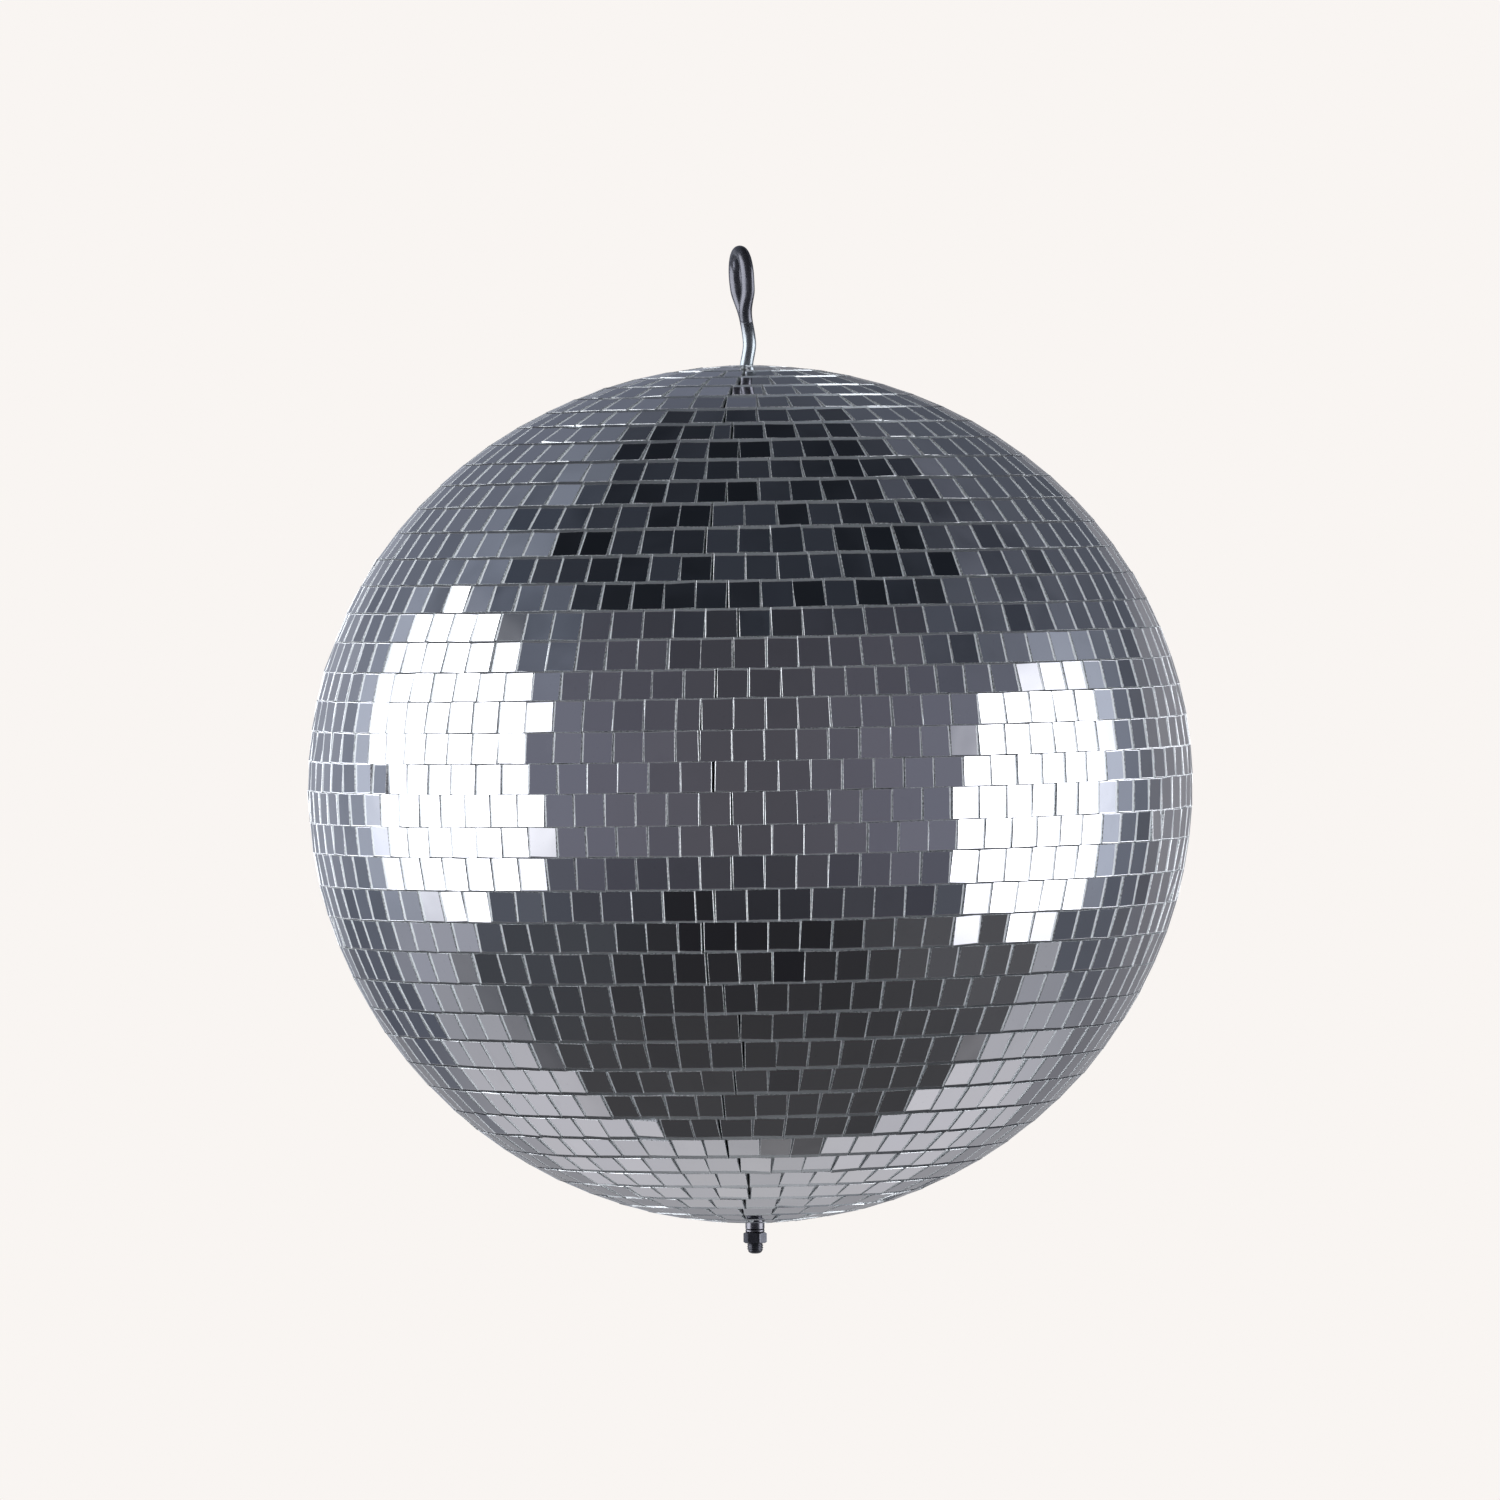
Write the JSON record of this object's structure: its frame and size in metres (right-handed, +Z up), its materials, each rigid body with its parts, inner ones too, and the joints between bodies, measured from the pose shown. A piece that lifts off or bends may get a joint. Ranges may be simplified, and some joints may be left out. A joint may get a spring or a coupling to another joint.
{
  "type": "mirror ball",
  "caption": "Hanging mirror ball: a hollow core dressed in rows of small square mirror tiles, free to turn on a long eye bolt that runs through its centre.",
  "frame": {"origin": "lowest point of the bolt's domed tip, on the axis the ball turns about", "axes": "+Z up along the spin axis towards the hanging eye; front of the ball, where the strips' ends meet, faces -Y; +X to the right seen from the front"},
  "size_m": [0.3, 0.3, 0.3427],
  "materials": {
    "mirror_tile": "polished",
    "core_plastic": "matte",
    "zinc_steel": "polished",
    "tube_steel": "satin"
  },
  "bodies": {
    "hanger": {"eye_bolt": "zinc_steel", "bottom_nut": "zinc_steel"},
    "thrust_ring": {"thrust_ring": "tube_steel"},
    "ball": {"central_tube": "tube_steel", "upper_core_shell": "core_plastic", "lower_core_shell": "core_plastic", "mirror_row_01": "mirror_tile", "mirror_row_02": "mirror_tile", "mirror_row_03": "mirror_tile", "mirror_row_04": "mirror_tile", "mirror_row_05": "mirror_tile", "mirror_row_06": "mirror_tile", "mirror_row_07": "mirror_tile", "mirror_row_08": "mirror_tile", "mirror_row_09": "mirror_tile", "mirror_row_10": "mirror_tile", "mirror_row_11": "mirror_tile", "mirror_row_12": "mirror_tile", "mirror_row_13": "mirror_tile", "mirror_row_14": "mirror_tile", "mirror_row_15": "mirror_tile", "mirror_row_16": "mirror_tile", "mirror_row_17": "mirror_tile", "mirror_row_18": "mirror_tile", "mirror_row_19": "mirror_tile", "mirror_row_20": "mirror_tile", "mirror_row_21": "mirror_tile", "mirror_row_22": "mirror_tile", "mirror_row_23": "mirror_tile", "mirror_row_24": "mirror_tile", "mirror_row_25": "mirror_tile", "mirror_row_26": "mirror_tile", "mirror_row_27": "mirror_tile", "mirror_row_28": "mirror_tile", "mirror_row_29": "mirror_tile", "mirror_row_30": "mirror_tile", "mirror_row_31": "mirror_tile", "mirror_row_32": "mirror_tile", "mirror_row_33": "mirror_tile", "mirror_row_34": "mirror_tile", "mirror_row_35": "mirror_tile", "mirror_row_36": "mirror_tile", "mirror_row_37": "mirror_tile", "mirror_row_38": "mirror_tile", "mirror_row_39": "mirror_tile", "mirror_row_40": "mirror_tile", "mirror_row_41": "mirror_tile", "mirror_row_42": "mirror_tile"}
  },
  "joints": [
    {"name": "ball_lift", "type": "slide", "parent": "hanger", "child": "thrust_ring", "axis": [0, 0, 1], "range_m": [0, 0.003]},
    {"name": "ball_spin", "type": "hinge", "parent": "thrust_ring", "child": "ball", "pos_m": [0, 0, 0.1597], "axis": [0, 0, 1], "continuous": true}
  ]
}
